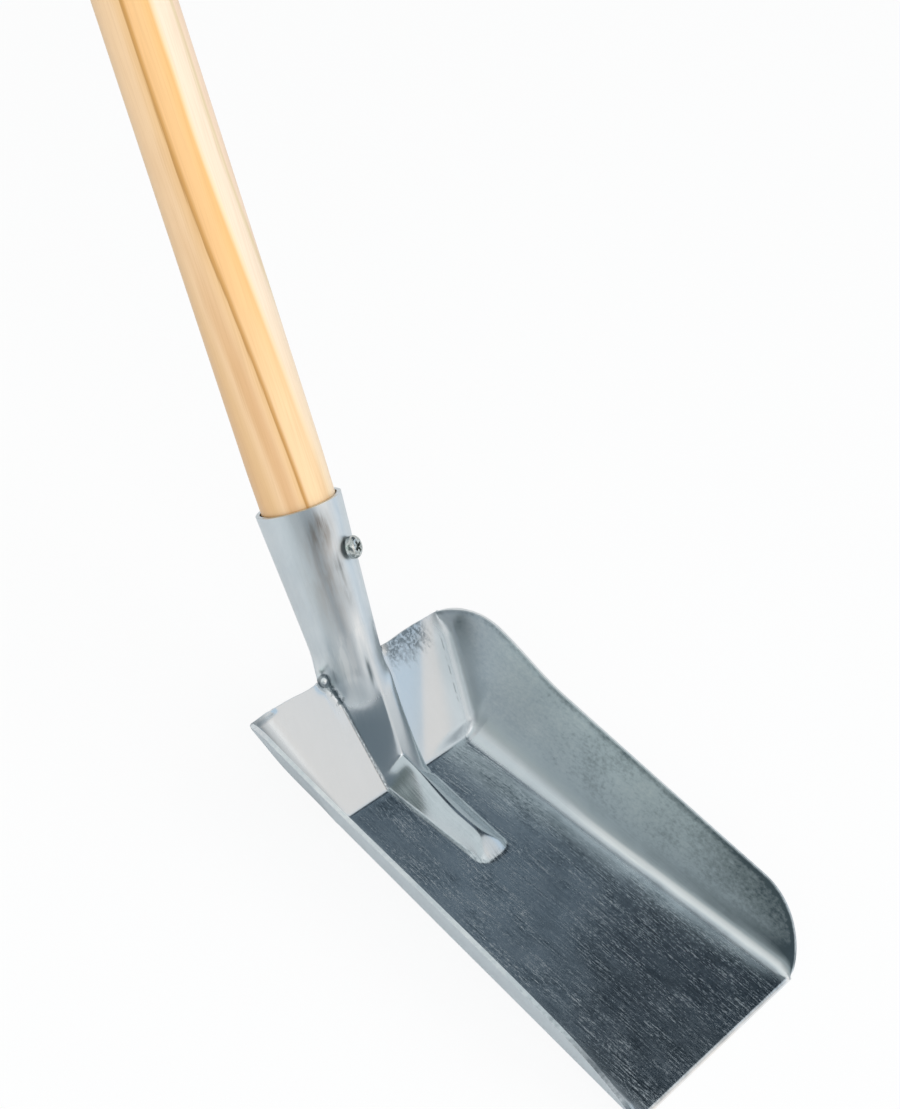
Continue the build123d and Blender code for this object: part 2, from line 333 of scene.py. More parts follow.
def trayGrid():
    # rows are sections square to Y. Each half runs from the crest of the rib, down its flank, round its foot,
    # along the floor or the back, round the bend and up the side.
    # Rows crowd at the front edge, the rib's end, the heel and the neck
    places = [(frontY, 12, 2.5), (heelY - rib["length"] - 6, 7, 3.0), (heelY + 2, 6, 3.0), (topY, 7, 2.5)]
    y = crowdedRows(frontY, topY, meshSteps["rows"], places)[:, None]
    t = y - heelY
    back = topY - heelY
    base = 0.5 / tan(lean) * (t + np.sqrt(t ** 2 + scoop["heelRound"] ** 2))
    cornerX = scoop["rearWidth"] / 2 + base * tan(flare) - t * tanTaper

    # half section of the rib, flat flanks that meet in a rounded crest: a hyperbola over the floor
    w = np.linspace(0, 1, meshSteps["flank"])[None, :]
    stops = [-rib["length"] - rib["endRun"], -rib["length"], 0, back]
    half = np.interp(t, stops, [rib["endHalf"], rib["tipHalf"], rib["heelHalf"], rib["neckHalf"]])
    ridge, broad = (height - base for height in crestHeights(t))
    slopeEnd = rib["tipHeight"] / rib["endRun"]

    def ribHeight(share, crest, onRight):
        fromEnd = t + rib["length"] + rib["endRun"] - rib["noseRun"] * share ** 4
        endPlane = 0.5 * slopeEnd * (fromEnd + np.sqrt(fromEnd ** 2 + rib["endBlend"] ** 2))
        fallen = (np.sqrt(share ** 2 + crest ** 2) - crest) / (np.sqrt(1 + crest ** 2) - crest)
        flank = ridge * (1 - fallen)
        if onRight:
            narrow = between(1, rib["rightFoot"], ease(t, *rib["rightOver"]))
            flank = np.maximum(ridge * (1 - fallen / narrow), broad * (1 - fallen ** rib["rightFull"]))
        # the lower of flank and end slope, rounded where they cross
        flank = np.maximum(flank, 1e-9)
        return flank * endPlane / (flank ** 6 + endPlane ** 6) ** (1 / 6)

    # half section of the channel: part of a circle round the handle's axis, cut upright
    axisHeight = (t - back) * tan(lift) + scoop["backHeight"]
    footOut = (base - axisHeight) * cos(lift)
    footAngle = np.arccos(np.clip(footOut / socket["neckRadius"], -1, 1))

    def channel(share):
        angle = footAngle * share
        radius = socket["neckRadius"] + 0 * angle
        for _ in range(4):  # station and radius depend on each other, and settle fast
            station = (t - back + radius * np.cos(angle) * sin(lift)) / cos(lift)
            radius = socketRadius(station)
        return radius * np.sin(angle), axisHeight + radius * np.cos(angle) / cos(lift), station

    # flat flanks from the heel up turn into the circle just before the neck
    def flankPoint(share, crest, onRight):
        roundX, roundZ, station = channel(share)
        flatZ = base + ribHeight(share, crest, onRight)
        rounded = ease(station, *rib["roundOver"])
        return between(half * share, roundX, rounded), between(flatZ, roundZ, rounded)

    foot = np.interp(t, [rib["footFrom"], back], [rib["foot"], rib["neckFoot"]])
    crest = between(rib["floorCrest"], rib["crest"], ease(t, *rib["crestOver"]))
    footX, footZ = flankPoint(np.ones((1, 1)), crest, False)
    flankLength = np.hypot(footX, ridge)
    flankEnd = 1 - foot / np.maximum(flankLength, 2 * foot)
    footShare, baseShare, bendShare, wallShare = (
        np.linspace(0, 1, meshSteps[name])[None, 1:] for name in ("foot", "base", "bend", "wall"))

    def halfSection(onRight, top, wider, bends):
        # one half of every row, from the crest outwards
        flankX, flankZ = flankPoint(w * flankEnd, crest, onRight)
        roundX = bezier(flankX[:, -1:], footX, footX + foot, footShare)
        roundZ = bezier(flankZ[:, -1:], footZ, base, footShare)
        topEdge = np.maximum(top, base + scoop["lip"])
        edgeX = cornerX + (topEdge - base) * tan(flare)
        bendX = cornerX + wider * ease((topEdge - base) / scoop["widerRise"])
        wall = np.hypot(edgeX - bendX, topEdge - base)
        upX, upZ = (edgeX - bendX) / wall, (topEdge - base) / wall
        near = np.minimum(np.interp(t, scoop["bendStops"], bends), scoop["bendMost"] * wall)
        baseX = between(footX + foot, bendX - near, baseShare)
        turnX = bezier(bendX - near, bendX, bendX + near * upX, bendShare)
        turnZ = bezier(base, base, base + near * upZ, bendShare)
        wallX = between(turnX[:, -1:], edgeX, wallShare)
        wallZ = between(turnZ[:, -1:], topEdge, wallShare)
        return (np.hstack((flankX, roundX, baseX, turnX, wallX)),
                np.hstack((flankZ, roundZ, base + 0 * baseX, turnZ, wallZ)), bendX)

    leftX, leftZ, _ = halfSection(False, sideTop(t, *scoop["leftTop"]), 0, scoop["leftBends"])
    wider = between(scoop["widerFront"], scoop["widerRear"], ease(t, *scoop["widerOver"]))
    rightX, rightZ, rightBend = halfSection(True, sideTop(t, *scoop["rightTop"]), wider, scoop["rightBends"])
    spread = rib["spread"] * ease(rightX / footX) * (1 - ease(t / rib["spreadRun"]))
    spread *= 1 - ease((rightX - footX - foot) / rib["spreadWide"])
    x = np.hstack((-leftX[:, :0:-1], rightX + spread))
    z = np.hstack((leftZ[:, :0:-1], rightZ)) + scoop["sheet"]
    # right of the channel the back is not flat: two planes meet in a shallow valley
    valley = between(scoop["valleyHeel"], scoop["valleyTop"], t / back)
    raised = (scoop["valleyIn"] + scoop["valleyOut"]) * softMax(x - valley, 0, scoop["valleySoft"])
    raised -= scoop["valleyIn"] * softMax(x - footX - foot, 0, scoop["valleySoft"])
    raised *= ease((x - footX - 0.5 * foot) / scoop["valleyStart"]) * ease(t / scoop["valleyRise"])
    raised *= 1 - ease((x - rightBend) / scoop["valleyEnd"])
    grid = np.stack((x, y - raised * cos(lean), z + raised * sin(lean) - rubbedOff(y)), axis=-1)
    footColumn = w.size + footShare.size // 2
    bendColumn = w.size + footShare.size + baseShare.size + bendShare.size // 2
    return grid, (footAngle * flankEnd * w)[-1], footShare.size, footColumn, bendColumn


def tubeGrid(neckAngles, webRow):
    # rows run from the neck to the mouth, columns round the socket from the crest to the seam, mirrored.
    # The first columns start on the channel, the next on the round that spreads into the back's top edge,
    # and the last are free
    seam = pi - socket["seamGap"] / 2 / socketRadius(socket["mouth"])
    webEnd = radians(socket["webAngle"])
    spread = np.linspace(neckAngles[-1], webEnd, len(webRow) - len(neckAngles) + 1)[1:]
    wrap = np.linspace(webEnd, seam, meshSteps["wrap"])[1:]
    angle = np.hstack((neckAngles, spread, wrap))
    inRow = (webRow - neckPoint) @ alongAxis
    late = ease((wrap - webEnd) / radians(socket["wrapTurn"]))
    start = np.hstack((inRow, between(inRow[-1], socket["wrapRun"], late)))
    away = webRow - onAxis(inRow, angle[:len(inRow)], socketRadius(inRow))
    left = 1 - ease((wrap - webEnd) / radians(socket["webTurn"]))
    away = np.vstack((away, away[-1] * left[:, None]))
    # rows crowd at the neck and by the screw
    share = crowdedRows(0, 1, meshSteps["tubeRows"], [(0, 0.08, 2.5), (0.68, 0.12, 1.5)])[:, None]
    station = between(start, socket["mouth"], share)
    fade = 1 - ease((station - start) / socket["webRun"])
    half = onAxis(station, angle + 0 * station, socketRadius(station)) + away * fade[..., None]
    grid = np.hstack((half[:, :0:-1] * [-1, 1, 1], half))
    angle = np.hstack((-angle[:0:-1], angle))
    station = np.hstack((station[:, :0:-1], station))

    # rolled in flats, and drawn in under the screw
    roll = socket["rollMark"] * np.cos(socket["rollFlats"] * angle + socket["rollPhase"])
    roll = roll * np.sin(socket["rollAlong"] * station + socket["rollTwist"] * angle)
    roll = roll * ease(station, *socket["rollOver"])
    aside = (angle - radians(screw["angle"])) * socketRadius(station)
    below = station - (socket["mouth"] - screw["fromMouth"])
    seat = socket["seatDip"] * bump(np.hypot(aside, below), socket["seatRadius"])
    return grid + (roll - seat)[..., None] * outward(angle), len(wrap)


def dented(points):
    # pressing marks: a ringed pucker at each side of the neck, the back's top edge sagging beside it and
    # turned up at one corner, and the left side standing out along its own normal, by one amount at its
    # foot and one at its top
    t, z = points[:, 1] - heelY, points[:, 2] - scoop["sheet"]
    folded = np.abs(points * [1, 0, 0]) + points * [0, 1, 1]
    away = np.linalg.norm(folded - puckerPlace, axis=1)
    inward = np.stack((np.sign(points[:, 0]), 0 * away + 1, 0 * away + 1), axis=1) * pucker["inward"]
    depth = pucker["deep"] * bump(away, pucker["ring"]) - pucker["dome"] * bump(away, pucker["middle"])
    fromTop = folded - [scoop["sagAside"], topY, topZ]
    near = bump(fromTop, np.array(scoop["sagReach"]))
    sag = scoop["sag"] * near.prod(axis=1)
    turnedUp = scoop["hem"] * ease(fromTop[:, 1], -scoop["hemWide"], scoop["hemWide"]) * near[:, 2]
    turnedUp *= ease((scoop["hemEnd"] - points[:, 0]) / scoop["hemRun"])
    inside = scoop["rearWidth"] / 2 + z * tan(flare) - t * tanTaper + points[:, 0]
    base = np.maximum(t, 0) / tan(lean)
    leftTop = sideTop(t, *scoop["leftTop"])
    risen = np.clip((z - base) / np.maximum(leftTop - base, scoop["lip"]), 0, 1)
    atFoot = scoop["splay"] * ease(t / scoop["splayRun"])
    atTop = scoop["leftOut"] * ease(t, *scoop["leftOutOver"])
    out = between(atFoot, atTop, risen) * ease(-inside, *scoop["outNear"])
    return (points + depth[:, None] * inward - sag[:, None] * [0, sin(lean), cos(lean)]
            + turnedUp[:, None] * [0, -cos(lean), sin(lean)] - out[:, None] * [cos(flare), 0, sin(flare)])


def makeBlade(material):
    tray, neckAngles, footCount, footColumn, bendColumn = trayGrid()
    middle = tray.shape[1] // 2
    reach = len(neckAngles) - 1 + footCount
    shared = slice(middle - reach, middle + reach + 1)
    tube, wraps = tubeGrid(neckAngles, tray[-1, middle:middle + reach + 1])

    # the tube shares the neck row's vertices, so the sheet is unbroken
    trayIndex = vertexNumbers(tray)
    tubeIndex = trayIndex.size + vertexNumbers(tube)
    tubeIndex[0, wraps:-wraps] = trayIndex[-1, shared]
    faces = np.vstack((quads(trayIndex), quads(tubeIndex)))

    # where each point lay on the flat sheet: across and along it
    across = lengthAlong(tray, axis=1)
    across -= across[:, middle:middle + 1]
    along = lengthAlong(tray[:, meshSteps["floorColumn"]])
    trayUv = np.stack((across, along[:, None] + 0 * across), axis=-1)
    aroundTube = lengthAlong(tube[-1])
    aroundTube -= aroundTube[tube.shape[1] // 2]
    upTube = along[-1] + lengthAlong(tube)
    tubeUv = np.stack((aroundTube + 0 * upTube, upTube), axis=-1)

    # how far each point is from the sheet's free edge, from the fold at the channel's left foot, and from the
    # side bends, which is negative on the sides; the socket counts as far from both
    fromSides = np.minimum(across - across[:, :1], across[:, -1:] - across)
    fromEdge = np.hstack((np.minimum(fromSides, along[:, None]).ravel(), (upTube[-1:] - upTube).ravel()))
    far = np.full(upTube.size, floorLength)
    bends = across[:, [middle - bendColumn]], across[:, [middle + bendColumn]]
    fromBend = np.hstack((np.minimum(across - bends[0], bends[1] - across).ravel(), far))
    fromFold = np.hstack(((across - across[:, [middle - footColumn]]).ravel(), far))
    points = np.vstack((tray.reshape(-1, 3), tube.reshape(-1, 3)))
    uv = np.vstack((trayUv.reshape(-1, 2), tubeUv.reshape(-1, 2)))
    used = np.unique(faces)
    renumber = np.zeros(len(points), int)
    renumber[used] = np.arange(len(used))
    points = dented(points[used])
    blade = makePiece("bladeSheet", points, renumber[faces], uv[used],
                      fromEdge=fromEdge[used], fromFold=fromFold[used], fromBend=fromBend[used])

    # thickness goes in as the weights of a vertex group, in fine steps
    thick = scoop["sheet"] - rubbedOff(points[:, 1])
    group = blade.vertex_groups.new(name="thickness")
    step = np.round(thick / scoop["sheet"] * 100).astype(int)
    for level in np.unique(step):
        group.add(np.flatnonzero(step == level).tolist(), float(level) / 100, "REPLACE")
    wall = blade.modifiers.new("sheetThickness", "SOLIDIFY")
    wall.thickness = scoop["sheet"] * mm
    wall.vertex_group = group.name
    wall.offset = -1
    wall.use_even_offset = True
    rim = blade.modifiers.new("cutEdge", "BEVEL")
    rim.width = scoop["rimRound"] * mm
    rim.segments = 2
    rim.limit_method = "ANGLE"
    rim.angle_limit = radians(scoop["rimAngle"])
    blade.modifiers.new("flatFaces", "WEIGHTED_NORMAL").keep_sharp = True
    hand(blade, "blade", material)
    print("blade:", len(blade.data.polygons), "faces before its thickness")


# handle: a turned stave, tapered into the socket

stave = dict(
    radius=14.0, start=5.0, length=599.9,
    smallRadius=10.6, mouthRadius=13.75, fullAt=80.0,
    endRound=8.0, startChamfer=1.0, sharpAngle=35.0,
    taperSteps=12, swellSteps=8, shaftSteps=60, endSteps=12, around=96,
)


def makeHandle(material):
    # a profile of radius over station, turned round the axis
    end = stave["start"] + stave["length"]
    taper = np.linspace(stave["start"] + stave["startChamfer"], socket["mouth"], stave["taperSteps"])
    taperRadius = np.interp(taper, [stave["start"], socket["mouth"]],
                            [stave["smallRadius"], stave["mouthRadius"]])
    swell = np.linspace(socket["mouth"], stave["fullAt"], stave["swellSteps"])[1:]
    swellRadius = between(stave["mouthRadius"], stave["radius"],
                          ease(swell, socket["mouth"], stave["fullAt"] - socket["mouth"]))
    shaft = np.linspace(stave["fullAt"], end - stave["endRound"], stave["shaftSteps"])[1:]
    turn = np.linspace(0, pi / 2, stave["endSteps"])[1:]
    endStation = end - stave["endRound"] + stave["endRound"] * np.sin(turn)
    endRadius = stave["radius"] - stave["endRound"] * (1 - np.cos(turn))
    station = np.hstack(([stave["start"]] * 2, taper, swell, shaft, endStation, end))
    radius = np.hstack((0, stave["smallRadius"] - stave["startChamfer"], taperRadius, swellRadius,
                        0 * shaft + stave["radius"], endRadius, 0))
    angle = np.linspace(0, 2 * pi, stave["around"] + 1)[:-1]
    grid = onAxis(station[:, None] + 0 * angle, angle + 0 * station[:, None], radius[:, None] + 0 * angle)
    handle = makePiece("handleStave", grid.reshape(-1, 3), quads(vertexNumbers(grid), closed=True))
    handle.data.set_sharp_from_angle(angle=radians(stave["sharpAngle"]))
    hand(handle, "handle", material)
    print("handle:", len(handle.data.polygons), "faces")


# screw: pan head with a cross recess, threaded shank in the wood

def makeScrew(material):
    # a profile turned round the screw's axis; the recess lowers the head, the thread cuts into the shank
    headR, headH, roundR = screw["headRadius"], screw["headHeight"], screw["headRound"]
    topRadius = np.linspace(0, headR - roundR, screw["topSteps"])
    turn = np.linspace(0, pi / 2, screw["roundSteps"])[1:]
    roundRadius = headR - roundR * (1 - np.sin(turn))
    roundHeight = headH - roundR * (1 - np.cos(turn))
    shankZ = np.linspace(0, -screw["length"], screw["shankSteps"])
    fade = np.clip((screw["length"] + shankZ) / screw["tip"], 0, 1)
    radius = np.hstack((topRadius, roundRadius, headR, screw["radius"] * fade))
    height = np.hstack((topRadius * 0 + headH, roundHeight, 0, shankZ))
    angle = np.linspace(0, 2 * pi, screw["around"] + 1)[:-1]
    r = radius[:, None] + 0 * angle
    z = height[:, None] + 0 * angle
    p, q = r * np.cos(angle), r * np.sin(angle)

    def crossedSlots(a, b, half, width, depth):
        # two slots that cross, with soft ends and walls
        ends = [ease((half - np.abs(along)) / screw["slotEnd"]) for along in (a, b)]
        walls = [ease((width / 2 - np.abs(beside)) / screw["slotWall"] + 0.5) for beside in (b, a)]
        return depth * np.maximum(ends[0] * walls[0], ends[1] * walls[1])

    recess = crossedSlots(p, q, *screw["recess"])
    ticks = crossedSlots((p + q) / sqrt(2), (p - q) / sqrt(2), *screw["tick"])
    onHead = z > 0.5 * headH
    dome = -screw["headDome"] * (r / headR) ** 2
    z = z + np.where(onHead, dome - np.maximum(recess, ticks), 0)
    inWood = z < screw["threadFrom"]
    wave = np.abs((z / screw["pitch"] - angle / (2 * pi)) % 1 - 0.5) * 2
    thin = np.clip((screw["length"] + z) / screw["tip"], 0, 1)
    r = r - np.where(inWood, screw["thread"] * thin * ease(wave), 0)

    station = socket["mouth"] - screw["fromMouth"]
    seat = socketRadius(station + headR) + screw["seatGap"]
    out = outward(radians(screw["angle"]))
    sideways = np.cross(out, alongAxis)
    origin = neckPoint + station * alongAxis + seat * out
    stopped = radians(screw["recessTurn"])
    pAxis = cos(stopped) * alongAxis + sin(stopped) * sideways
    qAxis = np.cross(out, pAxis)
    grid = (origin + (r * np.cos(angle))[..., None] * pAxis + (r * np.sin(angle))[..., None] * qAxis
            + z[..., None] * out)
    piece = makePiece("socketScrew", grid.reshape(-1, 3), quads(vertexNumbers(grid)[::-1], closed=True))
    piece.data.set_sharp_from_angle(angle=radians(screw["sharpAngle"]))
    hand(piece, "socket_screw", material)
    print("screw:", len(piece.data.polygons), "faces")


# materials

zinc = dict(
    tones=[(0.0, "#67737a"), (0.5, "#cdd5da"), (1.0, "#eceff0")],  # dull, as dipped, burnished
    plainTone=0.48, plainRough=0.19, grime="#9d9288",
    # noise on the flat sheet and in the round: grain in millimetres, then detail and roughness.
    # Real hairlines are finer; they are drawn this coarse to show
    sheetMarks=dict(hair=((0.6, 14.0, 1.0), 2.0, 0.6), dash=((0.7, 1.9, 1.0), 2.0, 0.65),
                    lane=((5.0, 60.0, 1.0), 2.0, 0.5), feather=((2.0, 9.0, 1.0), 4.0, 0.6),
                    smear=((2.2, 15.0, 1.0), 3.0, 0.6)),
    bodyMarks=dict(cloud=((11.0, 15.0, 11.0), 4.0, 0.55), fine=((1.2, 1.8, 1.2), 3.0, 0.65),
                   clump=((13.0, 26.0, 13.0), 2.0, 0.5), wave=((26.0, 34.0, 26.0), 1.0, 0.5)),
    crystal=2.4,  # millimetres across a zinc crystal
    waveDepth=0.6, waveOnBack=0.12, hairDepth=0.02,
    # soft spots on the socket: x, reach across, station, reach along, amount. The first tone spot is a
    # painted highlight
    grimeSpots=[(-7.5, 8.0, 36.0, 30.0, 0.48), (-6.0, 7.0, 53.0, 11.0, 0.6)],
    toneSpots=[(-8.5, 5.0, 5.0, 13.0, 0.60), (-2.0, 6.0, 14.0, 20.0, 0.25), (-2.3, 2.0, -1.5, 13.0, -0.65),
               (-14.0, 6.0, 45.0, 45.0, -0.16), (-6.0, 6.0, 54.0, 10.0, -0.62),
               (-3.0, 3.2, 39.0, 8.0, -0.6), (-2.2, 3.6, 27.0, 15.0, -0.42)],
    rubX=28.5, rubDown=10.5, rubFeather=20.0,  # the rub on the back: middle, reach down the back, frayed end
    # painted shade for the crumples beside the pucker
    crumpleShade=-0.42, crumpleBreak=6.0, crumpleUp=0.6,
    faceUp=(-0.1, 0.1),  # the normal's Z, from a side's outer face to its inner one
    deepScratch=(0.0, 0.26),
    mixes=dict(clumps=[(0.8, "lane"), (1.0, "clump")], scratch=[(0.9, "hair"), (1.1, "dash")]),
    # A ramp is a measure in millimetres or a mark, where it starts, where it is full, and its two values
    # if they aren't 0 and 1. Each place or zone is a product of ramps, marks and earlier places or zones
    places=dict(
        side=[("fromBend", 1.4, 0.0)],
        floor=[("fromBend", 0.0, 1.4), ("pastFloor", 2.0, -2.0)],
        channel=[("station", -22.0, -2.0), ("offAxis", 17.5, 15.0)],
        tube=[("station", 2.0, 6.0)],
    ),
    zones=dict(
        flatFloor=["floor", ("z", 2.8, 1.9)],
        scuffed=["flatFloor", ("clumps", -0.16, 0.14, 0.35, 1.0), ("fromBend", 2.0, 8.0),
                 ("fromEdge", 0.6, 1.8)],
        mottled=["inner", ("fromBend", -4.0, -11.0)],
        # painted shade on the floor beside the right bend
        besideBend=["flatFloor", ("fromBend", 5.0, 8.0), ("fromBend", 23.0, 11.0), ("x", 5.0, 15.0)],
        dirtyFold=[("nearFold", 1.0, 0.3), ("pastHeel", -41.6, -33.6)],
        streaky=[("smear", -0.14, 0.16, 0.4, 1.15)],
        rub=["onBack", ("upRub", 0.0, 10.0), ("besideRub", 14.5, 8.0), ("fine", -0.12, 0.10, 0.25, 1.0)],
    ),
    # what changes the tone: an amount, then all that it is multiplied by
    toneChanges=[
        # the back is the cleanest
        (0.20, "cloud"), (-0.17, "cloud", "onBack"),
        (0.14, "hair"), (-0.11, "hair", "onBack"),
        (0.035, "crystal"), (-0.031, "crystal", "onBack"),
        # the floor is scratched lengthwise, in lanes and clumps, and darker towards the front, a painted
        # reflection
        (1.0, "scratch", "scuffed"), (0.5, "cloud", "flatFloor"),
        (-0.08, "flatFloor", ("y", 10.0, -73.7)),
        # the sides' insides are mottled, lighter to the rear by a painted reflection, and darker to the front
        # and just below the rim
        (0.70, "fine", "mottled"), (0.35, "cloud", "mottled"),
        (0.20, "inner", ("y", 30.0, 75.0)),
        (-0.46, "inner", ("y", 10.0, -73.7), ("fromEdge", 22.0, 2.0), ("fromBend", -2.0, -5.0)),
        (-0.25, "inner", ("fromEdge", 3.0, 1.0)),
        # the cut edges are bright, partly rubbed and partly a painted highlight; not on the socket
        (0.45, ("fromEdge", 0.7, 0.2)), (-0.45, "onSocket", ("fromEdge", 0.7, 0.2)),
        # painted reflection: the sides' outer faces are lighter
        (0.10, "outer"),
        # the side bends are a little brighter along the floor, the right one has a painted highlight in a
        # bright band, and they are darker up the back
        (0.06, ("nearBend", 7.0, 2.0), ("pastHeel", 3.0, 0.0)),
        (0.45, ("fromBend", 2.4, 0.8), ("fromBend", -1.8, -0.6), ("x", 0.0, 10.0), ("y", 35.0, 5.0)),
        (-0.16, ("nearBend", 3.5, 1.5), ("pastHeel", 0.0, 4.0)),
        # painted shade: beside the right bend the floor is darker, most towards the rear, and the side darker
        # towards the front
        (-0.06, "besideBend"), (-0.12, "besideBend", ("y", -55.0, 20.0)),
        (-0.22, "inner", ("fromBend", -1.6, -3.0), ("fromBend", -9.5, -4.5), ("y", 20.0, -48.0)),
        # on the left, darker along the channel's foot, and painted shade in the crease where the back meets
        # the side
        (-0.21, "dirtyFold"), (-0.21, "dirtyFold", ("dash", -0.15, 0.05)),
        (-0.16, ("fromBend", 4.6, 3.2), ("pastHeel", 0.0, 4.0), ("x", -20.0, -25.0)),
        # a broken line where the right side's crease begins
        (-0.26, "onBack", ("nearCrease", 0.5, 0.0), ("x", 20.0, 25.0), ("smear", -0.05, 0.05)),
        # the pucker: a ring of painted shade round a painted highlight in the middle
        (-0.55, ("fromPucker", 3.0, 2.2)), (0.95, ("fromPucker", 1.4, 0.8)),
        # a grey rub along the back's top edge, on the side that the press caught
        (-0.42, "rub"),
        # the rolled socket is a little brighter, streaked along its length and spotted, with one painted
        # highlight
        (0.16, "onSocket"), (0.35, "onSocket", "smear"), (1.0, "onSocket", "toneSpots", "streaky"),
    ],
    roughChanges=[
        (0.01, "floor"), (0.15, "side"), (0.19, "onSocket"),
        (0.10, "hair"), (-0.08, "hair", "onBack"),
        (0.17, "deepScratch", "scuffed"), (0.12, "rub"), (0.12, ("nearBend", 7.0, 2.0)),
    ],
)


def galvanisedSteel():
    # Cold-rolled steel dipped in molten zinc. Rolling and pressing drag fine scratches along the sheet,
    # handling leaves cloudy grey patches and the rolled socket is dulled. The eye sees a soft blue-grey
    # mirror with short light and dark hairlines, a faint grain of zinc crystals and bright edges, partly
    # rubbed and partly a painted highlight.
    material, add = newMaterial("galvanisedSteel")
    flat = add("UVMap", uv_map="flatSheet")
    place = add("TexCoord", output="Object")
    along = add("SeparateXYZ", [add("VectorMath", {0: flat, "Scale": 1 / mm}, operation="SCALE")], 1)
    inMm = add("VectorMath", {0: place, "Scale": 1 / mm}, operation="SCALE")
    x, y, z = (add("SeparateXYZ", [inMm], axis) for axis in range(3))
    upward = add("SeparateXYZ", [add("TexCoord", output="Normal")], 2)
    fromEdge, fromFold, fromBend = (add("Attribute", (), "Fac", attribute_name=name)
                                    for name in ("fromEdge", "fromFold", "fromBend"))

    # measures, in millimetres
    fromNeck = add("VectorMath", [inMm, neckPoint], **subtract)
    station = add("VectorMath", [fromNeck, alongAxis], "Value", operation="DOT_PRODUCT")
    onAxisLine = add("VectorMath", {0: alongAxis, "Scale": station}, operation="SCALE")
    folded = add("VectorMath", [inMm], **absolute)
    known = dict(x=x, y=y, z=z, fromEdge=fromEdge, fromBend=fromBend, station=station,
                 offAxis=add("VectorMath", [fromNeck, onAxisLine], "Value", operation="DISTANCE"),
                 pastFloor=add("Math", [along, floorLength], **subtract),
                 pastHeel=add("Math", [y, heelY], **subtract),
                 fromPucker=add("VectorMath", [folded, puckerPlace], "Value", operation="DISTANCE"))
    for name, measure, line in (("nearBend", fromBend, 0.0), ("nearCrease", fromBend, scoop["creaseLine"]),
                                ("nearFold", fromFold, 0.0), ("besideRub", x, zinc["rubX"])):
        known[name] = add("Math", [add("Math", [measure, line], **subtract)], **absolute)

    def product(amount, factors):
        # an amount times each zone, mark or ramp
        for factor in factors:
            if isinstance(factor, tuple):
                name, *ends = factor
                factor = add("MapRange", [known[name], *ends], **smooth)
            else:
                factor = known[factor]
            amount = add("Math", [factor, amount], **multiply)
        return amount

    def summed(total, changes):
        # a plain value and all its changes
        for amount, *factors in changes:
            total = add("Math", [product(amount, factors), total])
        return total

    # where on the pressing: both faces of the sides, floor, socket, and the back for what is left
    for name, factors in zinc["places"].items():
        known[name] = product(1.0, factors)
    side = known["side"]
    inner = add("Math", [side, add("MapRange", [upward, *zinc["faceUp"]])], **multiply)
    onSocket = add("Math", [known["channel"], known["tube"]], **maximum)
    notBack = add("Math", [known["floor"], add("Math", [side, onSocket], **maximum)], **maximum)
    onBack = add("Math", [1.0, notBack], **subtract)
    known.update(inner=inner, outer=add("Math", [side, inner], **subtract), onSocket=onSocket, onBack=onBack)

    # each mark swings about 0.25 either side of 0
    for vector, kinds in (flat, zinc["sheetMarks"]), (place, zinc["bodyMarks"]):
        known.update(noiseMarks(add, vector, kinds))
    crystal = add("TexVoronoi", {"Vector": flat, "Scale": 1 / (zinc["crystal"] * mm)}, "Color")
    known["crystal"] = add("SeparateColor", [crystal])

    # soft round spots on the socket: dark grime, and changes of tone, one of them a painted highlight
    onRoll = add("CombineXYZ", [x, station])
    for kind in "grimeSpots", "toneSpots":
        known[kind] = 0.0
        for middle, reach, height, run, amount in zinc[kind]:
            scaled = add("Mapping", {"Vector": onRoll, "Location": (-middle / reach, -height / run, 0),
                                     "Scale": (1 / reach, 1 / run, 0)})
            away = add("VectorMath", [scaled], "Value", operation="LENGTH")
            known[kind] = add("Math", [add("MapRange", [away, 0.0, 1.0, amount, 0.0], **smooth), known[kind]])

    # scratches lie in clumps, and the rub on the back is frayed downwards
    for name, parts in zinc["mixes"].items():
        known[name] = summed(0.0, parts)
    known["deepScratch"] = add("MapRange", [known["scratch"], *zinc["deepScratch"]])
    rubLow = floorLength + scoop["backHeight"] / cos(lean) - zinc["rubDown"]
    rubLow = add("Math", [known["feather"], zinc["rubFeather"], rubLow], **multiplyAdd)
    known["upRub"] = add("Math", [along, rubLow], **subtract)
    for name, factors in zinc["zones"].items():
        known[name] = product(1.0, factors)
    tone = summed(zinc["plainTone"], zinc["toneChanges"])
    # painted shade of small crumples beside the pucker, which the mesh doesn't have
    for aside, past, reach in pucker["crumples"]:
        spot = np.array([aside, heelY + past, scoop["sheet"] + past / tan(lean) + zinc["crumpleUp"]])
        away = add("VectorMath", [folded, spot], "Value", operation="DISTANCE")
        away = add("Math", [known["fine"], zinc["crumpleBreak"], away], **multiplyAdd)
        tone = add("Math", [tone, add("MapRange", [away, reach, 0.5 * reach, 0.0, zinc["crumpleShade"]])])
    soil = add("Math", [known["grimeSpots"], known["streaky"]], use_clamp=True, **multiply)
    clean = add("ValToRGB", [tone], stops=zinc["tones"])
    color = add("Mix", {0: soil, 6: clean, 7: hexColor(zinc["grime"])}, 2, data_type="RGBA")
    rough = summed(zinc["plainRough"], zinc["roughChanges"])

    # slow waves left by the press, and the hairlines' own depth
    wave = add("MapRange", [onBack, 0.0, 1.0, 1.0, zinc["waveOnBack"]])
    wave = add("Math", [known["wave"], wave], **multiply)
    waved = add("Bump", {"Height": wave, "Strength": 1.0, "Distance": zinc["waveDepth"] * mm})
    scratched = add("Bump", {"Height": known["hair"], "Strength": 0.5, "Distance": zinc["hairDepth"] * mm,
                             "Normal": waved})
    add("OutputMaterial", [add("BsdfPrincipled", {"Metallic": 1.0, "Roughness": rough, "Base Color": color,
                                                  "Normal": scratched})])
    return material


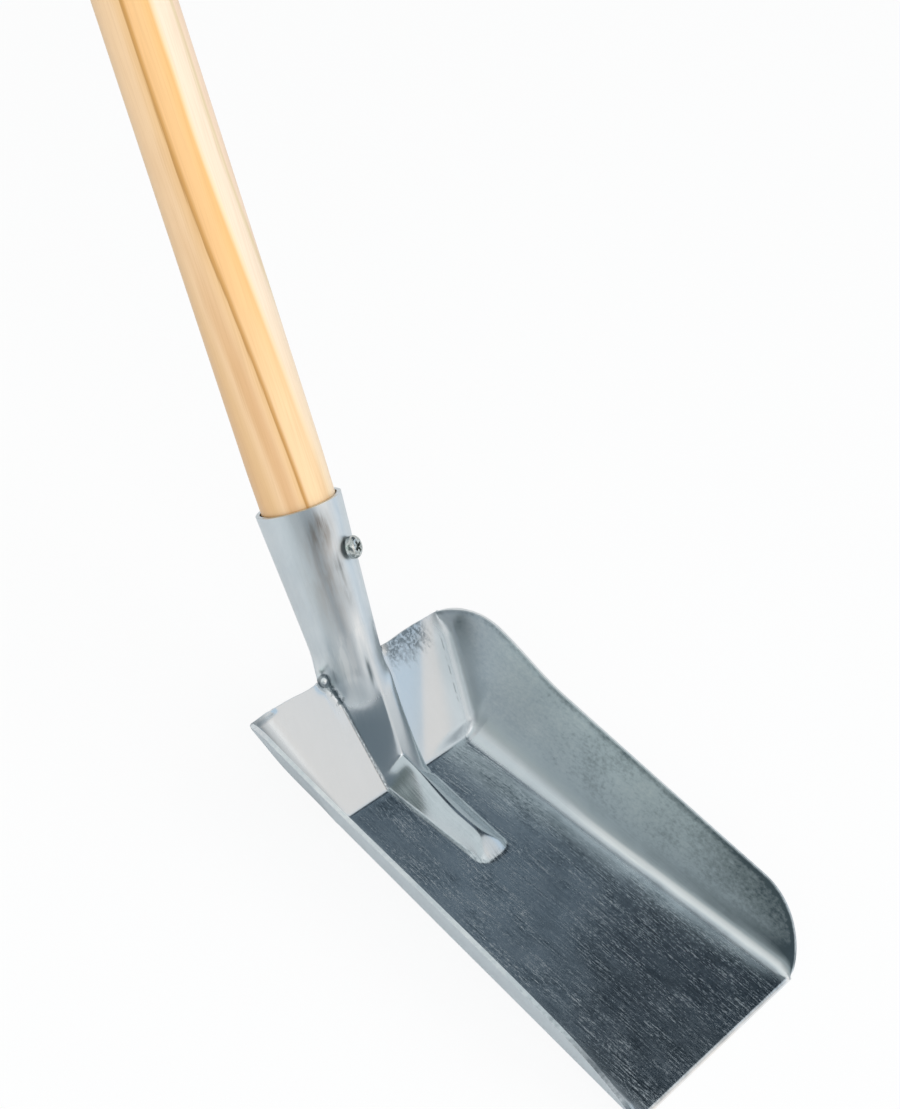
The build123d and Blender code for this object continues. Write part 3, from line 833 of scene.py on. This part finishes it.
pine = dict(
    # growth layers over 40 mm, of which the stave shows 28
    layerSpan=40.0,
    layers=[(0.0, "#dfb27d"), (0.12, "#e6be8b"), (0.20, "#f0cca0"), (0.30, "#f1cea3"), (0.386, "#e9bf88"),
            (0.394, "#bf8c48"), (0.416, "#d29c52"), (0.440, "#f3c182"), (0.53, "#f4c485"), (0.605, "#eebb74"),
            (0.632, "#f5dab0"), (0.66, "#f6e1c8"), (0.76, "#f7e2c8"), (0.786, "#e4cfa4"), (0.80, "#f6dcc2"),
            (0.9, "#f3d4b2"), (1.0, "#eac69a")],
    layerTurn=49.5, wanderBy=2.8, fibreBy=1.1,
    runAlong=(205.0, 40.0), runOut=7.0,  # stations between which the layers lean across, and how far
    # a brown late ring near the socket only: its place, reach and strength, and the stations it grows between
    ring="#d8a56c", ringAt=0.27, ringRamp=(0.018, 0.09, 0.65, 0.0), ringAlong=(175.0, 105.0),
    # the layers right of the line pale towards the socket
    pale="#f7dcb4", paleRamp=(0.400, 0.435), paleAlong=(160.0, 70.0, 0.0, 0.62),
    streak="#c08c50", fibreRamp=(-0.10, 0.22, 0.0, 0.14), patchRamp=(0.0, 0.25, 0.0, 0.12),
    grainDepth=0.06, rough=0.42, coat=0.25, coatRough=0.30,
    # grain across and along the stave in millimetres, then detail and roughness.
    # Real fibres are finer; they are drawn this coarse to show
    marks=dict(wander=((16.0, 16.0, 120.0), 2.0, 0.5), fibre=((0.5, 0.5, 26.0), 3.0, 0.6),
               patch=((9.0, 9.0, 45.0), 2.0, 0.5)),
)


def lacqueredPine():
    # Turned pine under a thin clear lacquer. The stave was sawn nearly along the grain, so growth layers run
    # down it as a few broad bands, pale spring wood ending in a narrow darker line. Fine fibres streak them.
    material, add = newMaterial("lacqueredPine")
    place = add("TexCoord", output="Object")
    # turned so that Z runs along the stave, with the axis through the origin at the neck
    turn = Matrix.Rotation(pi / 2 - lift, 3, "X")
    wood = add("Mapping", {"Vector": place, "Rotation": (pi / 2 - lift, 0, 0),
                           "Location": -(turn @ Vector(neckPoint * mm))})
    inMm = add("VectorMath", {0: wood, "Scale": 1 / mm}, operation="SCALE")
    x, y, station = (add("SeparateXYZ", [inMm], axis) for axis in range(3))
    mark = noiseMarks(add, wood, pine["marks"])

    # depth through the layers: flat planes that lean out near the socket and wander, with a jagged fibre edge
    slant = radians(pine["layerTurn"])
    depth = add("Math", [x, sin(slant)], **multiply)
    depth = add("Math", [y, -cos(slant), depth], **multiplyAdd)
    leaning = add("MapRange", [station, *pine["runAlong"]], **smooth)
    shifts = (leaning, -pine["runOut"]), (mark["wander"], pine["wanderBy"]), (mark["fibre"], pine["fibreBy"])
    for factor, amount in shifts:
        depth = add("Math", [factor, amount, depth], **multiplyAdd)
    share = add("Math", [depth, 1 / pine["layerSpan"], 0.5], **multiplyAdd)
    offRing = add("Math", [add("Math", [share, pine["ringAt"]], **subtract)], **absolute)
    color = add("ValToRGB", [share], stops=pine["layers"])
    for name, measure in ("ring", offRing), ("pale", share):
        amount = add("Math", [add("MapRange", [measure, *pine[name + "Ramp"]], **smooth),
                              add("MapRange", [station, *pine[name + "Along"]], **smooth)], **multiply)
        color = add("Mix", {0: amount, 6: color, 7: hexColor(pine[name])}, 2, data_type="RGBA")
    streak = add("Math", [add("MapRange", [mark[name], *pine[name + "Ramp"]], **smooth)
                          for name in ("fibre", "patch")])
    color = add("Mix", {0: streak, 6: color, 7: hexColor(pine["streak"])}, 2, data_type="RGBA")
    grain = add("Bump", {"Height": mark["fibre"], "Strength": 0.35, "Distance": pine["grainDepth"] * mm})
    shader = add("BsdfPrincipled", {"Base Color": color, "Roughness": pine["rough"], "Normal": grain,
                                    "Coat Weight": pine["coat"], "Coat Roughness": pine["coatRough"]})
    add("OutputMaterial", [shader])
    return material


plate = dict(
    grain=0.9, grainDepth=0.08,
    tones=[(0.25, "#8c9390"), (0.55, "#cdd1cf"), (0.8, "#eceeec")], rough=0.22,
)


def zincPlate():
    # Bright zinc plate on a cold-headed screw: smoother and whiter than the sheet, with small tool marks
    material, add = newMaterial("zincPlate")
    place = add("TexCoord", output="Object")
    worked = add("TexNoise", {"Vector": place, "Scale": 1 / (plate["grain"] * mm), "Detail": 3.0,
                              "Roughness": 0.6})
    color = add("ValToRGB", [worked], stops=plate["tones"])
    dimple = add("Bump", {"Height": worked, "Strength": 0.6, "Distance": plate["grainDepth"] * mm})
    add("OutputMaterial", [add("BsdfPrincipled", {"Metallic": 1.0, "Roughness": plate["rough"],
                                                  "Base Color": color, "Normal": dimple})])
    return material


# studio

studio = dict(
    cameraPlace=(-470.71, -179.63, 551.90), cameraAim=(107.63, 146.56, 1.5), cameraRoll=-18.53, lens=67.99,
    skyFill=0.62, skyMirrored=0.85,
    floorSeen=0.90, floorMirrored=0.12,  # how far the floor glows by itself for the camera and for mirrors
    floorHalf=6000.0, floorBelow=0.05, floorPaper="#eef2f4",
    cardAim=(0, 0, 20), lampAim=(0, 0, 50),
    lamps=[("keyLamp", (1000, -900, 1050), 1900, 11.5), ("fillLamp", (-1000, -500, 800), 1500, 10.0)],
    # name, direction from the tool, distance, width, height, colours from one side to the other, strength
    cards=[("softBox", (0.47, -0.66, 0.588), 1200, 640, 700, [(0.0, "#fff5ee"), (1.0, "#fff5ee")], 1.13),
           ("blueBox", (0.84, -0.34, 0.36), 1250, 700, 800, [(0.0, "#d9e9f7"), (1.0, "#d9e9f7")], 1.08),
           ("highBox", (-0.02, -0.67, 0.74), 900, 620, 460, [(0.0, "#fffaf6"), (1.0, "#fffaf6")], 1.65),
           ("topBox", (-0.15, -0.10, 0.98), 1000, 1400, 1400, [(0.0, "#f2f8f8"), (1.0, "#f2f8f8")], 0.90),
           ("floorFlag", (0.648, 0.266, 0.713), 900, 800, 600,
            [(0.30, "#5f6c76"), (0.48, "#7e8d99"), (0.60, "#28323b"), (0.70, "#414d57")], 0.85),
           ("sideCard", (-0.93, 0.12, 0.34), 800, 900, 640, [(0.34, "#4f5b59"), (0.56, "#e2efec")], 1.02),
           ("upperFlag", (-0.82, -0.03, 0.57), 700, 680, 250, [(0.35, "#6b787b"), (0.70, "#646f6d")], 1.0),
           ("frontFlag", (-0.515, -0.680, 0.521), 700, 625, 450, [(0.0, "#76828a"), (1.0, "#76828a")], 1.0)],
)


def makeCamera():
    camera = bpy.data.objects.new("camera", bpy.data.cameras.new("camera"))
    camera.data.lens = studio["lens"]
    camera.data.sensor_width = 36
    camera.data.clip_start = 0.01
    place = Vector(studio["cameraPlace"]) * mm
    look = Vector(studio["cameraAim"]) * mm - place
    turn = look.to_track_quat("-Z", "Y").to_matrix() @ Matrix.Rotation(-radians(studio["cameraRoll"]), 3, "Z")
    camera.matrix_world = Matrix.Translation(place) @ turn.to_4x4()
    bpy.context.scene.collection.objects.link(camera)
    bpy.context.scene.camera = camera


def flatPiece(name, centre, side, up):
    # one face, from its middle and its two half widths
    corners = [list(centre + side * a + up * b) for a, b in ((-1, -1), (1, -1), (1, 1), (-1, 1))]
    return makePiece(name, np.array(corners), np.array([[0, 1, 2, 3]]))


def rayKinds(add):
    # 1 for what the camera sees itself, and 1 for what it sees in a mirror or through glass
    seen, mirrored, through = (add("LightPath", output=f"Is {kind} Ray")
                               for kind in ("Camera", "Glossy", "Transmission"))
    return seen, add("Math", [mirrored, through], **maximum)


def makeStage():
    # pale floor: the camera, mirrors and glass see it as near white, with the tool's soft shadow
    material, add = newMaterial("paleFloor")
    seen, mirrored = rayKinds(add)
    share = add("Math", [mirrored, studio["floorMirrored"]], **multiply)
    share = add("Math", [seen, studio["floorSeen"], share], **multiplyAdd)
    paper = add("BsdfDiffuse", {"Color": hexColor(studio["floorPaper"])})
    glow = add("Emission", {"Strength": 1.0})
    add("OutputMaterial", [add("MixShader", [share, paper, glow])])
    across, along = (studio["floorHalf"] * Vector(axis) for axis in ((1, 0, 0), (0, 1, 0)))
    floor = flatPiece("floor", Vector((0, 0, -studio["floorBelow"])), across, along)
    floor.data.materials.append(material)


def makeCard(name, toward, distance, width, height, stops, strength):
    # a card that only shapes what the metal mirrors: it faces the tool, fades through its colours along its
    # width, and the camera doesn't see it
    aim = Vector(toward).normalized()
    side = aim.cross(Vector((0, 0, 1))).normalized()
    up = side.cross(aim)
    centre = Vector(studio["cardAim"]) + aim * distance
    card = flatPiece(name, centre, side * width / 2, up * height / 2)
    material, add = newMaterial(name)
    place = add("TexCoord", output="Object")
    across = add("VectorMath", [place, side], "Value", operation="DOT_PRODUCT")
    start = (centre.dot(side) - width / 2) * mm
    share = add("MapRange", [across, start, start + width * mm])
    glow = add("Emission", {"Color": add("ValToRGB", [share], stops=stops), "Strength": strength})
    add("OutputMaterial", [glow])
    card.data.materials.append(material)
    card.visible_camera = card.visible_shadow = card.visible_diffuse = False


def makeLight():
    world = bpy.data.worlds.new("studio")
    bpy.context.scene.world = world
    add = emptied(world)
    seen, mirrored = rayKinds(add)
    plain = add("MapRange", [seen, 0.0, 1.0, studio["skyFill"], 1.0])
    level = add("MapRange", [mirrored, 0.0, 1.0, plain, studio["skyMirrored"]])
    add("OutputWorld", [add("Background", {"Color": (1, 1, 1, 1), "Strength": level})])

    for name, place, size, watts in studio["lamps"]:
        lamp = bpy.data.lights.new(name, "AREA")
        lamp.size = size * mm
        lamp.energy = watts
        holder = bpy.data.objects.new(name, lamp)
        holder.location = Vector(place) * mm
        look = Vector(studio["lampAim"]) * mm - holder.location
        holder.rotation_euler = look.to_track_quat("-Z", "Y").to_euler()
        holder.visible_glossy = False  # the cards stand for what the metal mirrors
        bpy.context.scene.collection.objects.link(holder)

    for card in studio["cards"]:
        makeCard(*card)


makeBlade(galvanisedSteel())
makeHandle(lacqueredPine())
makeScrew(zincPlate())
makeCamera()
makeStage()
makeLight()
bpy.context.scene.view_settings.view_transform = "Standard"

print("scene done")
